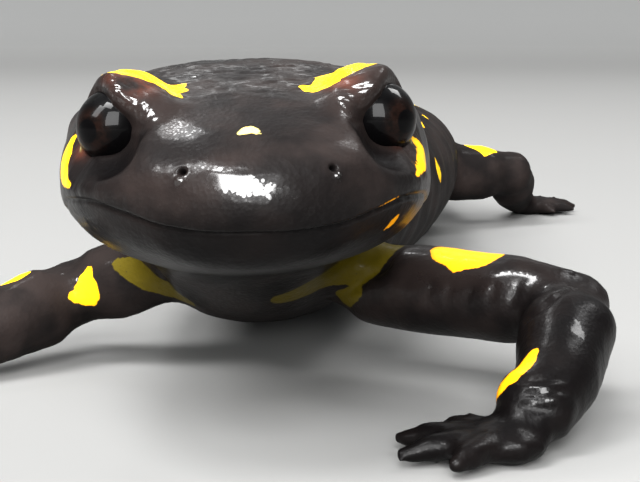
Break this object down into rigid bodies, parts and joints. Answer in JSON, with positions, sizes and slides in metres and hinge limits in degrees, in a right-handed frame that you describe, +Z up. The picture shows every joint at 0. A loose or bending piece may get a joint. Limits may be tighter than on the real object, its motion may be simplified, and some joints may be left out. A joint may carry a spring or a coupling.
{
  "type": "fire salamander",
  "caption": "Fire salamander, life size, standing with raised head and one fore foot forward, glossy black with yellow patches.",
  "frame": {"origin": "middle of the footprint, on the floor under feet and tail", "axes": "+Z up, -Y the way the snout points, +X towards the animal's left"},
  "size_m": [0.0654, 0.181, 0.0223],
  "materials": {
    "skin": "gloss",
    "eye": "gloss"
  },
  "bodies": {
    "root": {"head": "skin", "lower_jaw": "skin", "eye_left": "eye", "eye_right": "eye", "neck": "skin", "trunk_front": "skin", "trunk_rear": "skin", "tail_base": "skin", "tail_middle": "skin", "tail_tip": "skin", "fore_left_upper_arm": "skin", "fore_left_forearm": "skin", "fore_left_hand": "skin", "fore_right_upper_arm": "skin", "fore_right_forearm": "skin", "fore_right_hand": "skin", "hind_left_thigh": "skin", "hind_left_shank": "skin", "hind_left_foot": "skin", "hind_right_thigh": "skin", "hind_right_shank": "skin", "hind_right_foot": "skin"}
  },
  "joints": []
}
